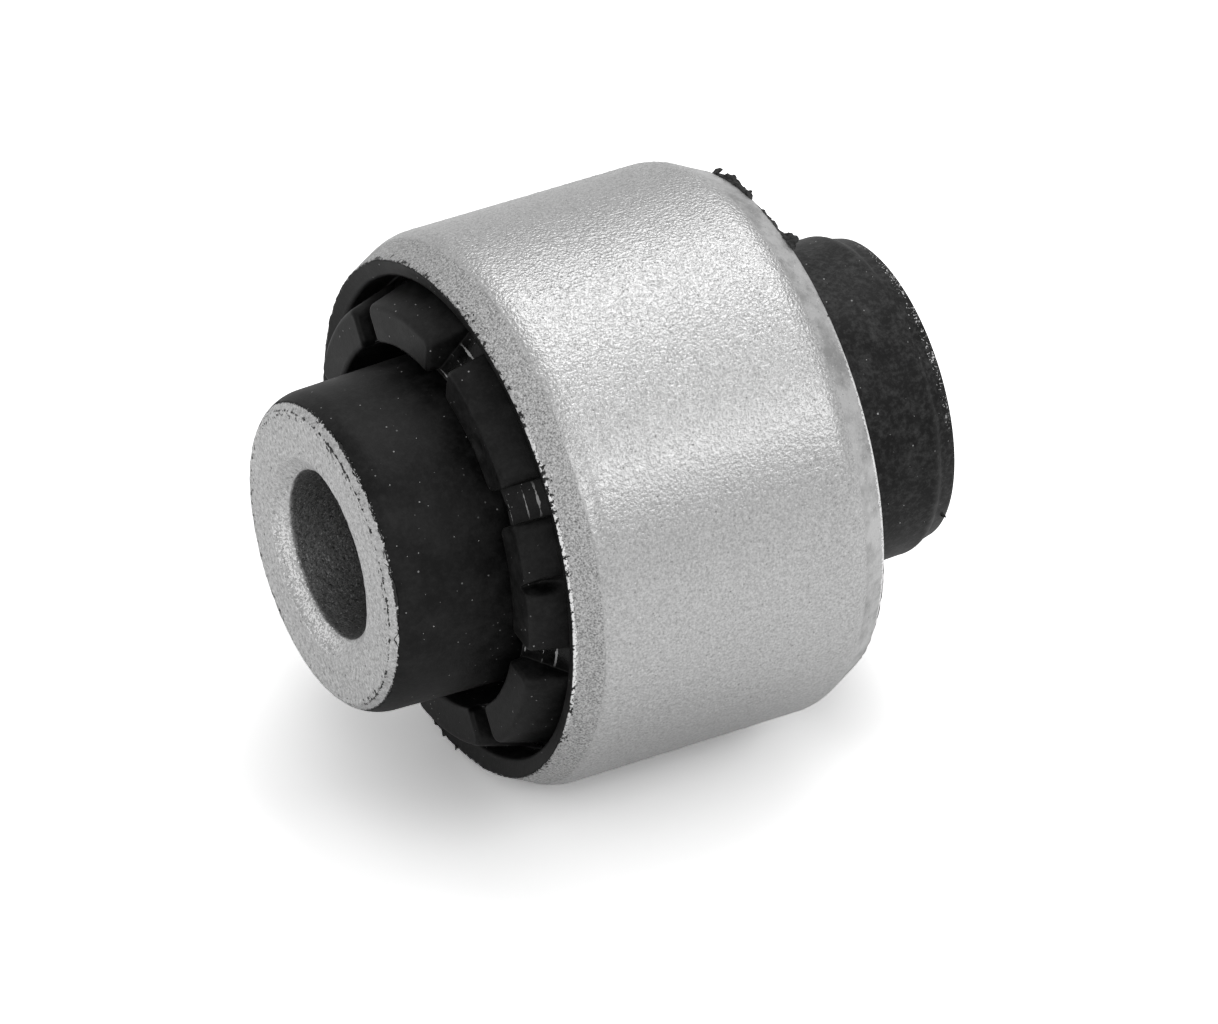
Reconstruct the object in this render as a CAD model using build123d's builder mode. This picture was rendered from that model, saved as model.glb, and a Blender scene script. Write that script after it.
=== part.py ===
# Rubber metal bush: a steel inner sleeve and a steel outer sleeve joined by one rubber moulding.
# The axis is Z, the origin is the middle of the bore, and the end with the torn lobe is up.
# The gap between two lobes faces -Y.

import os
from math import cos, radians, sin, tan

from build123d import *

# Inner sleeve, in millimetres
bore_diameter = 12.2
inner_diameter = 22.2
inner_length = 44.5
bore_chamfer_width = 1.2
bore_chamfer_depth = 0.9
rim_chamfer = 0.5

# Outer sleeve
outer_diameter = 40.2
outer_length = 24.5
outer_wall = 1.75
end_chamfer_width = 1.35
end_chamfer_length = 2.7
end_chamfer_blend = 3.0

# Rubber coat on the upper half of the inner sleeve
coat_end_thickness = 0.52
coat_root_thickness = 0.85
shoulder_length = 1.75

# Rubber coat on the lower half: it ends in a step and a thin skirt that covers the rim
lower_end_thickness = 0.59
lower_root_thickness = 1.05
lower_shoulder_length = 0.95
lower_shoulder_bulge = 0.14
skirt_thickness = 0.24
skirt_length = 1.25
skirt_taper = 0.31

# Rubber lining of the outer sleeve
lining_thickness = 0.9
lip_drop = 0.28
lip_radius = 0.4

# Ring of lobes at each end
lobe_count = 8
lobe_standout = 1.8
groove_width = 1.25
groove_depth = 6.0
groove_draft = 1.5
lobe_flare = 16.0
flare_depth = 4.3
flare_gap = 0.27
slot_width = 2.6
slot_floor_drop = 0.9
slot_foot_gap = 0.29
lobe_inner_corner = 0.55
lobe_outer_corner = 0.7
lobe_rim_radius = 0.3
lobe_corner_share = 0.26

# Tear in the outside of one lobe and dent in the face of the next
tear_angle = -111.6
tear_reach = 1.1
tear_root_width = 0.35
tear_mouth_width = 2.1
tear_depth = 2.6
dent_angle = -71.5
dent_inset = 1.1
dent_radius = 1.1
dent_depth = 0.4

bore_radius = bore_diameter / 2
inner_radius = inner_diameter / 2
inner_end = inner_length / 2
outer_radius = outer_diameter / 2
outer_end = outer_length / 2
sleeve_bore_radius = outer_radius - outer_wall
mouth_radius = outer_radius - end_chamfer_width
mouth_bevel = mouth_radius - sleeve_bore_radius

coat_radius = inner_radius + coat_end_thickness
root_radius = inner_radius + coat_root_thickness
lower_coat_radius = inner_radius + lower_end_thickness
lower_root_radius = inner_radius + lower_root_thickness
skirt_radius = inner_radius + skirt_thickness
skirt_top = -(inner_end - skirt_length)
lower_shoulder_top = skirt_top + lower_shoulder_length

lining_radius = sleeve_bore_radius - lining_thickness
lobe_face = outer_end + lobe_standout
flare_foot = lobe_face - flare_depth
flare_radius = lining_radius - flare_gap
lobe_inside = root_radius + groove_width
lobe_outside = flare_radius - flare_depth * tan(radians(lobe_flare))
lobe_middle = (lobe_inside + lobe_outside) / 2
corner_limit = (lobe_outside - lobe_inside) * lobe_corner_share
groove_floor = lobe_face - groove_depth
groove_inset = groove_depth * tan(radians(groove_draft))
lip_height = outer_end - lip_drop
lip_inner_radius = lining_radius + lip_radius
dent_reach = lobe_inside + dent_inset
dent_height = lobe_face + dent_radius - dent_depth
cutter_clearance = 1.0
fit_tolerance = 0.01


def is_lobe_corner(edge):
    """True for the four upright corners of each lobe, from its face down to a slot floor."""
    box = edge.bounding_box()
    reaches_face = abs(box.max.Z - lobe_face) < fit_tolerance
    return reaches_face and box.min.Z < lobe_face - slot_floor_drop / 2


def is_inside_lobe(edge):
    """True for an edge nearer to the inner sleeve than the middle of the lobe."""
    spot = edge.center()
    return Vector(spot.X, spot.Y).length < lobe_middle


with BuildPart() as inner_sleeve:
    with BuildSketch(Plane.XZ):
        with BuildLine():
            Polyline(
                (bore_radius, 0),
                (bore_radius, inner_end - bore_chamfer_depth),
                (bore_radius + bore_chamfer_width, inner_end),
                (inner_radius - rim_chamfer, inner_end),
                (inner_radius, inner_end - rim_chamfer),
                (inner_radius, 0),
                close=True,
            )
        make_face()
    revolve(axis=Axis.Z)
    mirror(about=Plane.XY)

with BuildPart() as outer_sleeve:
    with BuildSketch(Plane.XZ):
        with BuildLine():
            Polyline(
                (sleeve_bore_radius, 0),
                (sleeve_bore_radius, outer_end - mouth_bevel),
                (mouth_radius, outer_end),
                (outer_radius, outer_end - end_chamfer_length),
                (outer_radius, 0),
                close=True,
            )
        make_face()
        chamfer_corner = vertices().sort_by(Axis.X)[-2:].sort_by(Axis.Y)[-1]
        fillet(chamfer_corner, end_chamfer_blend)
    revolve(axis=Axis.Z)
    mirror(about=Plane.XY)

# One slot between two lobes: its floor is a cone that falls away towards the outer sleeve
with BuildPart() as slot_cutter:
    slot_start = lobe_inside - groove_width / 2
    floor_stop = flare_foot + slot_foot_gap
    floor_fall = (lobe_face - slot_floor_drop - floor_stop) / (flare_radius - lobe_inside)
    floor_start = lobe_face - slot_floor_drop + (lobe_inside - slot_start) * floor_fall
    with BuildSketch(Plane.XZ):
        with BuildLine():
            Polyline(
                (slot_start, floor_start),
                (flare_radius, floor_stop),
                (flare_radius, lobe_face + cutter_clearance),
                (slot_start, lobe_face + cutter_clearance),
                close=True,
            )
        make_face()
    revolve(axis=Axis.Z)
    Box(
        outer_radius,
        slot_width,
        2 * (lobe_face + 2 * cutter_clearance),
        align=(Align.MIN, Align.CENTER, Align.CENTER),
        mode=Mode.INTERSECT,
    )

# The tear is a wedge that opens outwards
with BuildPart() as tear_cutter:
    with BuildSketch(Plane.XY.offset(lobe_face + cutter_clearance)):
        with BuildLine():
            Polyline(
                (lobe_outside - tear_reach, -tear_root_width / 2),
                (flare_radius, -tear_mouth_width / 2),
                (flare_radius, tear_mouth_width / 2),
                (lobe_outside - tear_reach, tear_root_width / 2),
                close=True,
            )
        make_face()
    extrude(amount=-(tear_depth + cutter_clearance))

with BuildPart() as rubber_body:
    with BuildSketch(Plane.XZ):
        with BuildLine():
            Line((root_radius, 0), (root_radius, groove_floor))
            ThreePointArc(
                (root_radius, groove_floor),
                ((root_radius + lobe_inside - groove_inset) / 2, groove_floor - groove_width / 3),
                (lobe_inside - groove_inset, groove_floor),
            )
            Line((lobe_inside - groove_inset, groove_floor), (lobe_inside, lobe_face))
            Line((lobe_inside, lobe_face), (lobe_outside, lobe_face))
            Line((lobe_outside, lobe_face), (flare_radius, flare_foot))
            ThreePointArc(
                (flare_radius, flare_foot),
                ((flare_radius + lining_radius) / 2, flare_foot - (lining_radius - flare_radius) / 2),
                (lining_radius, flare_foot),
            )
            Line((lining_radius, flare_foot), (lining_radius, lip_height - lip_radius))
            TangentArc(
                (lining_radius, lip_height - lip_radius),
                (lip_inner_radius, lip_height),
                tangent=(0, 1),
            )
            Line((lip_inner_radius, lip_height), (mouth_radius, outer_end))
            Line((mouth_radius, outer_end), (sleeve_bore_radius, outer_end - mouth_bevel))
            Line((sleeve_bore_radius, outer_end - mouth_bevel), (sleeve_bore_radius, 0))
            Line((sleeve_bore_radius, 0), (root_radius, 0))
        make_face()
    revolve(axis=Axis.Z)
    with PolarLocations(0, lobe_count, start_angle=-90):
        add(slot_cutter.part, mode=Mode.SUBTRACT)
    lobe_corners = edges().filter_by(is_lobe_corner)
    fillet(lobe_corners.filter_by(is_inside_lobe), min(lobe_inner_corner, corner_limit))
    lobe_corners = edges().filter_by(is_lobe_corner)
    fillet(
        lobe_corners.filter_by(is_inside_lobe, reverse=True),
        min(lobe_outer_corner, corner_limit),
    )
    lobe_rims = edges().filter_by_position(Axis.Z, lobe_face, lobe_face)
    fillet(lobe_rims, min(lobe_rim_radius, corner_limit / 2))
    mirror(about=Plane.XY)
    with BuildSketch(Plane.XZ):
        with BuildLine():
            shoulder_foot = (coat_radius, inner_end - rim_chamfer - shoulder_length)
            TangentArc(shoulder_foot, (inner_radius, inner_end - rim_chamfer), tangent=(0, 1))
            Line(shoulder_foot, (root_radius, groove_floor))
            Line((root_radius, groove_floor), (root_radius, 0))
            Line((root_radius, 0), (lower_root_radius, 0))
            Line((lower_root_radius, 0), (lower_root_radius, -groove_floor))
            Line((lower_root_radius, -groove_floor), (lower_coat_radius, lower_shoulder_top))
            ThreePointArc(
                (lower_coat_radius, lower_shoulder_top),
                (
                    (lower_coat_radius + skirt_radius) / 2 + lower_shoulder_bulge,
                    (lower_shoulder_top + skirt_top) / 2,
                ),
                (skirt_radius, skirt_top),
            )
            Line((skirt_radius, skirt_top), (skirt_radius - skirt_taper, -inner_end))
            Line((skirt_radius - skirt_taper, -inner_end), (inner_radius - rim_chamfer, -inner_end))
            Line((inner_radius - rim_chamfer, -inner_end), (inner_radius, rim_chamfer - inner_end))
            Line((inner_radius, rim_chamfer - inner_end), (inner_radius, inner_end - rim_chamfer))
        make_face()
    revolve(axis=Axis.Z)
    with PolarLocations(0, 1, start_angle=tear_angle):
        add(tear_cutter.part, mode=Mode.SUBTRACT)
    dent_x = dent_reach * cos(radians(dent_angle))
    dent_y = dent_reach * sin(radians(dent_angle))
    with Locations((dent_x, dent_y, dent_height)):
        Sphere(dent_radius, mode=Mode.SUBTRACT)

os.makedirs("parts", exist_ok=True)
inner_sleeve.part.label = "inner_sleeve"
export_step(inner_sleeve.part, "parts/inner_sleeve.step")
outer_sleeve.part.label = "outer_sleeve"
export_step(outer_sleeve.part, "parts/outer_sleeve.step")
rubber_body.part.label = "rubber_body"
export_step(rubber_body.part, "parts/rubber_body.step")
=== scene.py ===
"""Looks of a rubber metal bush: two steel sleeves joined by one rubber moulding with lobed ends.

Sizes are in millimetres until a mesh is made. The axis is Z and the end with the torn lobe is up.
A profile is an array of (radius, height) rows, and every surface is worked out as whole arrays.
"""

import sys
import logging
import math
from collections.abc import Callable
from dataclasses import dataclass, field
from enum import Enum
from functools import partial

import bmesh
import bpy
import numpy as np
from mathutils import Matrix, Vector


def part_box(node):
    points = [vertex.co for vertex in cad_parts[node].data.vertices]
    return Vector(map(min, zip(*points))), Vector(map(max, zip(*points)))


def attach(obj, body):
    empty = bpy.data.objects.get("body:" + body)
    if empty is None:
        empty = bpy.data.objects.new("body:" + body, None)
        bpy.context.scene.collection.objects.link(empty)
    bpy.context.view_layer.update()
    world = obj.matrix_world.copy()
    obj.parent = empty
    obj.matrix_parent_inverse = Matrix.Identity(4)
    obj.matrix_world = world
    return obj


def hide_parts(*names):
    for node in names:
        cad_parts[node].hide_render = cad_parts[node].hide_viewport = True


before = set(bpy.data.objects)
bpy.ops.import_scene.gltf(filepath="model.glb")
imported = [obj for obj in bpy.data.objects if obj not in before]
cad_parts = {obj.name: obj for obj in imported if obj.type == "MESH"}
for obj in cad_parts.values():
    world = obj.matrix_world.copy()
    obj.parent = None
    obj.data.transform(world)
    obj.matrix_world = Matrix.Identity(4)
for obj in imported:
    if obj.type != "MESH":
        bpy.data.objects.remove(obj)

LOG = logging.getLogger("bush")
MM = 0.001
SEED = 41

# Pattern value that a mark needs on an empty ring, how much less it needs on a full one, what it needs
# beside a ring, and over how much of the pattern a mark fades in
EMPTY_LIMIT = 0.64
FULL_DROP = 0.28
BESIDE_LIMIT = 0.82
MARK_BLUR = 0.025

# Fewest and most waves that a cosine of a random relief has in one mean wavelength
WAVE_SPREAD = (0.7, 1.35)

Socket = bpy.types.NodeSocket
AddNode = Callable[..., bpy.types.NodeOutputs]


class Finish(Enum):
    """The finishes on this bush."""

    OUTER_STEEL = "shot_blasted_steel"
    INNER_STEEL = "turned_steel"
    RUBBER = "moulded_rubber"
    TORN_RUBBER = "torn_rubber_flash"


def to_linear(colour: str) -> tuple[float, float, float, float]:
    """Turns an sRGB hex colour, six digits after a hash sign, to linear light with an alpha of one."""
    parts = [int(colour[i:i + 2], 16) / 255 for i in (1, 3, 5)]
    linear = [p / 12.92 if p <= 0.04045 else ((p + 0.055) / 1.055) ** 2.4 for p in parts]
    return (*linear, 1.0)


@dataclass(frozen=True)
class Ring:
    """A thin ring about the axis: where it lies, how far it reaches to each side and how full it is."""

    radius: float
    reach: float
    share: float


@dataclass(frozen=True)
class Side:
    """One side of the bush: its direction, and how far out along it something starts and is whole."""

    angle: float
    start: float
    stop: float


def add_node(
    tree: bpy.types.NodeTree, kind: str, inputs: dict | tuple = (), **settings: str | float
) -> bpy.types.NodeOutputs:
    """Adds a shader node with its settings, values and links.

    Args:
        tree: The nodes that it joins.
        kind: Name of its type, after ShaderNode.
        inputs: Output sockets or values, by input name or number or in the inputs' order. A hex colour is
            turned to linear light.
        settings: Properties of the node itself.

    Returns:
        The node's outputs.
    """
    node = tree.nodes.new("ShaderNode" + kind)
    for name, value in settings.items():
        setattr(node, name, value)
    for name, value in inputs.items() if isinstance(inputs, dict) else enumerate(inputs):
        if isinstance(value, Socket):
            tree.links.new(value, node.inputs[name])
        else:
            node.inputs[name].default_value = to_linear(value) if isinstance(value, str) else value
    return node.outputs


def fresh_nodes(owner: bpy.types.Material | bpy.types.World) -> AddNode:
    """Empties the nodes of a material or of the surroundings and gives the call that adds to them."""
    owner.use_nodes = True
    owner.node_tree.nodes.clear()
    return partial(add_node, owner.node_tree)


def random_patterns(add: AddNode, table: dict[str, tuple[float, float, float]]) -> dict[str, Socket]:
    """Random patterns about a half that stay fixed to the piece.

    Args:
        add: Adds a node to the material.
        table: Size in millimetres, detail and roughness of each pattern by its name.

    Returns:
        The patterns by their names.
    """
    where = add("TexCoord")["Object"]
    patterns = {}
    for name, (size, detail, rough) in table.items():
        inputs = {"Vector": where, "Scale": 1 / (size * MM), "Detail": detail, "Roughness": rough}
        patterns[name] = add("TexNoise", inputs)["Fac"]
    return patterns


def facing(add: AddNode, side: Side) -> Socket:
    """From zero to one as a point lies farther towards a side."""
    turn = math.radians(side.angle)
    way = (math.cos(turn), math.sin(turn), 0.0)
    reach = add("VectorMath", (add("TexCoord")["Object"], way), operation="DOT_PRODUCT")["Value"]
    return add("MapRange", (reach, side.start * MM, side.stop * MM, 0.0, 1.0))[0]


def axis_distance(add: AddNode) -> Socket:
    """Distance from the axis, in metres."""
    flat = add("VectorMath", (add("TexCoord")["Object"], (1.0, 1.0, 0.0)), operation="MULTIPLY")[0]
    return add("VectorMath", (flat,), operation="LENGTH")["Value"]


def near_ends(add: AddNode, height: float) -> Socket:
    """One farther than a height from the middle, at either end, and zero elsewhere."""
    level = add("SeparateXYZ", (add("TexCoord")["Object"],))["Z"]
    away = add("Math", (level,), operation="ABSOLUTE")[0]
    return add("Math", (away, height * MM), operation="GREATER_THAN")[0]


def ring_marks(add: AddNode, pattern: Socket, rings: tuple[Ring, ...], masks: tuple[Socket, ...]) -> Socket:
    """Ragged marks on rings: a random pattern, cut off higher and higher away from each ring.

    Args:
        add: Adds a node to the material.
        pattern: Random values about a half.
        rings: The rings.
        masks: Where marks may show.

    Returns:
        One on a mark and zero elsewhere.
    """
    radius, total = axis_distance(add), 0.0
    for ring in rings:
        away = add("Math", (radius, ring.radius * MM), operation="SUBTRACT")[0]
        away = add("Math", (away,), operation="ABSOLUTE")[0]
        on_ring = EMPTY_LIMIT - FULL_DROP * ring.share
        limit = add("MapRange", (away, 0.0, ring.reach * MM, on_ring, BESIDE_LIMIT))[0]
        over = add("Math", (pattern, limit), operation="SUBTRACT")[0]
        mark = add("MapRange", (over, 0.0, MARK_BLUR, 0.0, 1.0))[0]
        total = add("Math", (mark, total), operation="MAXIMUM")[0]
    for mask in masks:
        total = add("Math", (total, mask), operation="MULTIPLY")[0]
    return total


def layered(add: AddNode, base: Socket, *layers: tuple[Socket | float, Socket | str]) -> Socket:
    """Lays colours over a base, each one by its own mask."""
    for mask, colour in layers:
        base = add("Mix", {0: mask, 6: base, 7: colour}, data_type="RGBA")[2]
    return base


def arc_through(start: tuple, middle: tuple, stop: tuple, steps: int) -> np.ndarray:
    """Points of the circle through three points, evenly turned, without the last point.

    The centre is where the two bisectors of the chords cross.

    Args:
        start: First (radius, height).
        middle: A (radius, height) on the way.
        stop: Last (radius, height).
        steps: Number of points.

    Returns:
        Array of shape (steps, 2).
    """
    a, b, c = (np.array(p, float) for p in (start, middle, stop))
    rows = 2 * np.array([b - a, c - a])
    centre = np.linalg.solve(rows, [b @ b - a @ a, c @ c - a @ a])
    turns = [math.atan2(*(p - centre)[::-1]) for p in (a, b, c)]
    sweep = (turns[2] - turns[0]) % math.tau
    if (turns[1] - turns[0]) % math.tau > sweep:
        sweep -= math.tau
    angle = turns[0] + sweep * np.arange(steps) / steps
    return centre + np.linalg.norm(a - centre) * np.stack([np.cos(angle), np.sin(angle)], 1)


def chain(start: tuple, *runs: tuple) -> np.ndarray:
    """Points along straight runs and arcs, each of which starts where the one before it stops.

    Args:
        start: First (radius, height).
        runs: Number of points, then for an arc a (radius, height) on its way, and its last (radius, height).

    Returns:
        Array of (radius, height) rows.
    """
    parts = []
    for steps, *middle, stop in runs:
        if middle:
            parts.append(arc_through(start, *middle, stop, steps))
        else:
            share = np.arange(steps)[:, None] / steps
            parts.append((1 - share) * np.array(start) + share * np.array(stop))
        start = stop
    return np.concatenate([*parts, [start]])


def tangent_middle(tangent_end: tuple, other: tuple) -> np.ndarray:
    """Middle of an arc that is parallel to the axis at one end.

    The arc's centre lies level with that end, and both ends are as far from it.

    Args:
        tangent_end: The (radius, height) where the arc is parallel to the axis.
        other: The (radius, height) of its other end.

    Returns:
        The (radius, height) halfway along it.
    """
    across, along = np.subtract(other, tangent_end)
    reach = (across ** 2 + along ** 2) / (2 * across)
    half_turn = math.atan2(abs(along), abs(reach) - abs(across)) / 2
    rise = math.copysign(abs(reach) * math.sin(half_turn), along)
    return np.add(tangent_end, (reach * (1 - math.cos(half_turn)), rise))


def around(radius: np.ndarray, angle: np.ndarray, height: np.ndarray) -> np.ndarray:
    """Points about Z: the one at radius r, angle a and height h is (r cos a, r sin a, h)."""
    return np.stack(np.broadcast_arrays(radius * np.cos(angle), radius * np.sin(angle), height), -1)


def revolved(profile: np.ndarray, angles: np.ndarray) -> np.ndarray:
    """Turns a profile about Z: a row of points for each of its rows, with one point for each angle."""
    return around(profile[:, :1], angles, profile[:, 1:])


def tube(half: np.ndarray, columns: int) -> tuple[np.ndarray, np.ndarray]:
    """Mirrors a half profile below the middle height and turns the whole loop about Z.

    Args:
        half: Array of (radius, height) rows that starts and stops at height zero.
        columns: Number of angles in a full turn.

    Returns:
        The loop's (radius, height) rows, and its points, of shape (rows, columns, 3).
    """
    loop = np.concatenate([half, half[-2:0:-1] * (1, -1)])
    return loop, revolved(loop, np.arange(columns) * math.tau / columns)


def waves(points: np.ndarray, length: float, seed: int, count: int = 48) -> np.ndarray:
    """Smooth random relief: a sum of cosines along random directions, with a variance of one.

    Args:
        points: Array of points in millimetres, the last axis of length three.
        length: Mean wavelength in millimetres.
        seed: Seed of the random directions.
        count: Number of cosines.

    Returns:
        Array of heights, one for each point.
    """
    source = np.random.default_rng(seed)
    way = source.normal(size=(3, count))
    way *= math.tau / (length * np.linalg.norm(way, axis=0)) * source.uniform(*WAVE_SPREAD, count)
    phase = source.uniform(0, math.tau, count)
    return np.cos(points @ way + phase).sum(-1) * math.sqrt(2 / count)


def grid_quads(rows: int, columns: int, close_rows: bool, close_columns: bool) -> np.ndarray:
    """Quads of a grid of points numbered row by row.

    Args:
        rows: Number of rows.
        columns: Number of columns.
        close_rows: True joins the last row to the first.
        close_columns: True joins the last column to the first.

    Returns:
        Array of shape (quads, 4).
    """
    number = np.arange(rows * columns).reshape(rows, columns)
    if close_rows:
        number = np.concatenate([number, number[:1]], 0)
    if close_columns:
        number = np.concatenate([number, number[:, :1]], 1)
    corners = (number[:-1, :-1], number[:-1, 1:], number[1:, 1:], number[1:, :-1])
    return np.stack([c.ravel() for c in corners], 1)


def linked(name: str, data: bpy.types.ID) -> bpy.types.Object:
    """Makes an object from its data and links it to the scene."""
    item = bpy.data.objects.new(name, data)
    bpy.context.scene.collection.objects.link(item)
    return item


@dataclass
class Patchwork:
    """Grids of points that share their seams and become one closed mesh."""

    name: str
    points: list[np.ndarray] = field(default_factory=list)
    quads: list[np.ndarray] = field(default_factory=list)
    zones: list[np.ndarray] = field(default_factory=list)
    count: int = 0
    seam_gap: float = 0.0002

    def add(
        self,
        points: np.ndarray,
        zone: np.ndarray | float = 0.0,
        close_rows: bool = False,
        close_columns: bool = True,
    ) -> None:
        """Adds one grid.

        Args:
            points: Points in millimetres, of shape (rows, columns, 3).
            zone: How far each point belongs to the finish's second zone, from zero to one.
            close_rows: True joins the last row to the first.
            close_columns: True joins the last column to the first.
        """
        rows, columns = points.shape[:2]
        self.points.append(points.reshape(-1, 3))
        self.quads.append(grid_quads(rows, columns, close_rows, close_columns) + self.count)
        self.zones.append(np.broadcast_to(zone, (rows, columns)).ravel())
        self.count += rows * columns

    def build(self) -> bpy.types.Object:
        """Makes the mesh, joins its seams and turns its faces outwards.

        Returns:
            The new object, linked to the scene.
        """
        points = np.concatenate(self.points) * MM
        quads = np.concatenate(self.quads)
        mesh = bpy.data.meshes.new(self.name)
        mesh.vertices.add(len(points))
        mesh.vertices.foreach_set("co", points.astype(np.float32).ravel())
        mesh.loops.add(quads.size)
        mesh.loops.foreach_set("vertex_index", quads.astype(np.int32).ravel())
        mesh.polygons.add(len(quads))
        mesh.polygons.foreach_set("loop_start", np.arange(0, quads.size, 4, dtype=np.int32))
        mesh.update(calc_edges=True)
        zone = mesh.attributes.new("zone", "FLOAT", "POINT")
        zone.data.foreach_set("value", np.concatenate(self.zones).astype(np.float32))
        work = bmesh.new()
        work.from_mesh(mesh)
        bmesh.ops.remove_doubles(work, verts=work.verts, dist=self.seam_gap * MM)
        bmesh.ops.recalc_face_normals(work, faces=work.faces)
        work.to_mesh(mesh)
        work.free()
        mesh.polygons.foreach_set("use_smooth", np.ones(len(mesh.polygons), bool))
        return linked(self.name, mesh)


def place(piece: bpy.types.Object, finish: bpy.types.Material, slot: str, *nodes: str) -> None:
    """Dresses a piece, rides it on the part and hides the solids that it stands for.

    Args:
        piece: The new piece.
        finish: Its material.
        slot: The record's material slot; not used.
        nodes: Names of the solids that it replaces.
    """
    piece.data.materials.clear()
    piece.data.materials.append(finish)
    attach(piece, "root")
    if nodes:
        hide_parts(*nodes)
    LOG.info("%s: %d faces, finish %s", piece.name, len(piece.data.polygons), finish.name)


@dataclass(frozen=True)
class Steel:
    """Low-carbon steel with a dull zinc-grey skin, blasted on the outside and turned on the ends.

    The pebbled skin breaks the highlight into small lights and darks. The second zone is rougher; on the
    inner sleeve it is the bore, whose darker colours are painted shade inside the bore. Where a point's zone
    has the smooth value, as on the lower chamfer, next to no pebbles show and the colour is in soft smudges.
    Rubber left in the pores near a rubber edge shows nearly black. The worn rings carry painted highlights:
    bright grains on the lit side only, on the outer mouth edge also bare worn steel. Painted glints and
    painted shade in small pits are sprinkled over the skin. A span is the stretch of a random pattern over
    which a colour runs from dark to light.
    """

    kind: Finish
    light: str
    dark: str
    zone_light: str
    zone_dark: str
    roughness: float
    zone_roughness: float
    pebble: float
    pebble_depth: float
    grain: float
    grain_depth: float
    residue: tuple[Ring, ...]
    # Rings of painted highlights: bright grains on the lit side only, on the outer mouth edge partly bare
    # worn steel
    worn: tuple[Ring, ...]
    glint_ring_side: Side
    end_height: float
    residue_colour: str = "#1d1d1d"
    glint_ring_colour: str = "#ffffff"
    # Colour of the painted glints
    glint: str = "#f4f4f4"
    glint_limit: float = 0.69
    # Colour and share of the painted shade in small pits
    pit_shade: str = "#5a5a5a"
    pit_shade_share: float = 0.8
    lower_calm: float = 0.12
    group_spread: float = 0.2
    rubbed_side: Side = Side(-130.0, 12.5, 15.5)
    rubbed_share: float = 0.0
    smooth_zone: float = 0.3
    smooth_relief: float = 0.12
    tone_span: tuple[float, float] = (0.38, 0.62)
    band_span: tuple[float, float] = (0.37, 0.58)
    smudge_span: tuple[float, float] = (0.4, 0.58)
    smudge_least: float = 0.3
    glint_blur: float = 0.03

    def material(self) -> bpy.types.Material:
        """Builds the material.

        Returns:
            The steel material.
        """
        material = bpy.data.materials.new(self.kind.value)
        add = fresh_nodes(material)
        noise = random_patterns(add, {
            "pebble": (self.pebble, 1.5, 0.5), "grain": (self.grain, 2.0, 0.6), "group": (3.4, 3.0, 0.6),
            "blot": (0.32, 3.0, 0.6), "worn": (0.17, 2.0, 0.6), "smudge": (2.6, 6.0, 0.7),
        })
        zone = add("Attribute", attribute_name="zone")["Fac"]
        off = add("Math", (zone, self.smooth_zone), operation="SUBTRACT")[0]
        off = add("Math", (off,), operation="ABSOLUTE")[0]
        uneven = add("MapRange", (off, 0.0, self.smooth_zone, self.smooth_relief, 1.0))[0]
        at_end = near_ends(add, self.end_height)
        level = add("SeparateXYZ", (add("TexCoord")["Object"],))["Z"]
        blot = noise["blot"]
        for part in (
            add("MapRange", (noise["group"], 0.0, 1.0, -self.group_spread, self.group_spread))[0],
            add("MapRange", (level, -MM, 0.0, -self.lower_calm, 0.0))[0],
        ):
            blot = add("Math", (blot, part), operation="ADD")[0]
        marks = ring_marks(add, blot, self.residue, (at_end,))
        # Painted highlights: bright grains on the worn rings, on the lit side only
        worn = ring_marks(add, noise["worn"], self.worn, (at_end, facing(add, self.glint_ring_side)))
        skin = self._skin(add, noise, zone, uneven)
        rubbed = facing(add, self.rubbed_side)
        rubbed = add("MapRange", (rubbed, 0.0, 1.0, 1.0, 1.0 - self.rubbed_share))[0]
        depth = add("Math", (rubbed, uneven), operation="MULTIPLY")[0]
        fine = add("Bump", {"Height": noise["grain"], "Distance": self.grain_depth * MM, "Strength": 1.0})[0]
        relief = add("Bump", {
            "Height": noise["pebble"], "Distance": self.pebble_depth * MM, "Strength": depth, "Normal": fine,
        })[0]
        shader = add("BsdfPrincipled", {
            "Base Color": layered(add, skin, (worn, self.glint_ring_colour), (marks, self.residue_colour)),
            "Metallic": add("Math", (1.0, marks), operation="SUBTRACT")[0],
            "Roughness": add("MapRange", (zone, 0.0, 1.0, self.roughness, self.zone_roughness))[0],
            "Normal": relief,
        })[0]
        add("OutputMaterial", {"Surface": shader})
        return material

    def _skin(self, add: AddNode, noise: dict[str, Socket], zone: Socket, uneven: Socket) -> Socket:
        """Mottled colour of the bare steel, with a few painted glints and painted shade in small pits.

        Args:
            add: Adds a node to the material.
            noise: The random patterns.
            zone: How far a point belongs to the second zone.
            uneven: How much of the mottling a point keeps.

        Returns:
            The colour.
        """
        half, most = (
            add("Mix", {0: share, 2: noise["pebble"], 3: noise["grain"]}, data_type="FLOAT")[0]
            for share in (0.5, 0.7)
        )
        tone = add("MapRange", (half, *self.tone_span, 0.0, 1.0))[0]
        tone = add("Mix", {0: uneven, 2: 0.5, 3: tone}, data_type="FLOAT")[0]
        smudge = add("MapRange", (noise["smudge"], *self.smudge_span, self.smudge_least, 1.0))[0]
        band = add("MapRange", (most, *self.band_span, 0.0, 1.0))[0]
        band = add("Mix", {0: uneven, 2: smudge, 3: band}, data_type="FLOAT")[0]
        limit = self.glint_limit
        # Painted shade in small pits where the pattern is low, and painted glints where the grain is high
        pit_shade = add("MapRange", (half, 1.0 - limit, 1.0 - limit + self.glint_blur, self.pit_shade_share, 0.0))[0]
        spark = add("MapRange", (noise["grain"], limit, limit + self.glint_blur, 0.0, 1.0))[0]
        plain = layered(add, self.dark, (tone, self.light))
        second = layered(add, self.zone_dark, (band, self.zone_light))
        inside = add("MapRange", (zone, 0.0, self.smooth_zone, 0.0, 1.0))[0]
        return layered(add, plain, (inside, second), (pit_shade, self.pit_shade), (spark, self.glint))


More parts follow.
